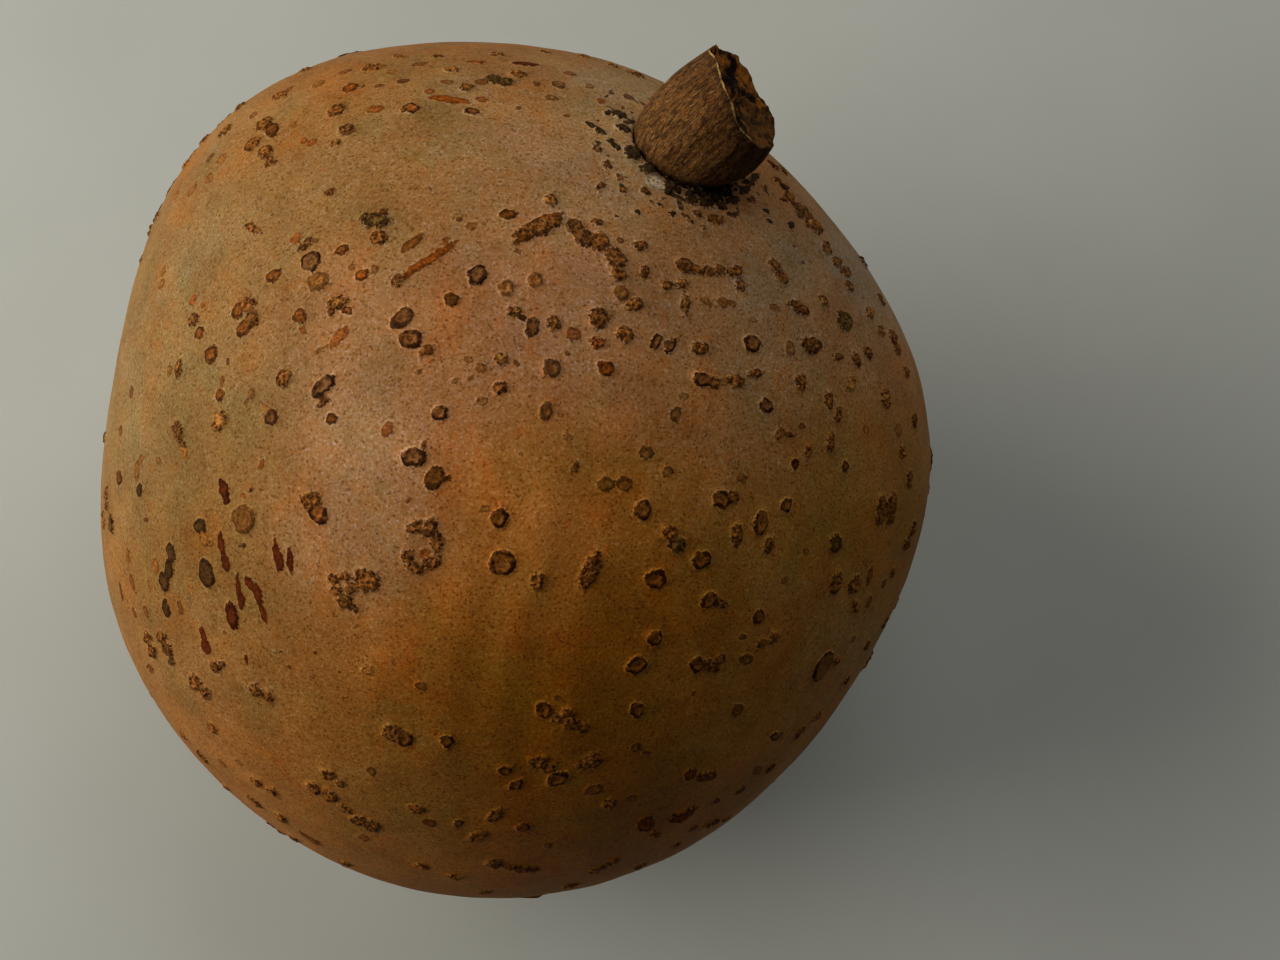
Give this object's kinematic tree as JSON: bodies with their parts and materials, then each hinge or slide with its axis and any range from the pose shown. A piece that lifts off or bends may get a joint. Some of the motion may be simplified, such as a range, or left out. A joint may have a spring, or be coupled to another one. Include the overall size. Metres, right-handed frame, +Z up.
{
  "type": "mammee apple",
  "caption": "Round, brown, leathery tropical fruit with raised scabs and the torn stub of its stalk, resting on a small flat spot.",
  "frame": {"origin": "middle of the small flat spot that the fruit rests on", "axes": "+Z up, +X to the right and +Y to the back, with the stalk leaning up towards +X and +Y"},
  "size_m": [0.1225, 0.1263, 0.1237],
  "materials": {
    "skin": "matte, leathery and finely grained tan-brown skin with darker corky scabs",
    "bark": "matte, dry and fibrous brown bark with dark torn wood at the cut end"
  },
  "bodies": {
    "root": {"fruit": "skin", "stalk": "bark"}
  },
  "joints": []
}
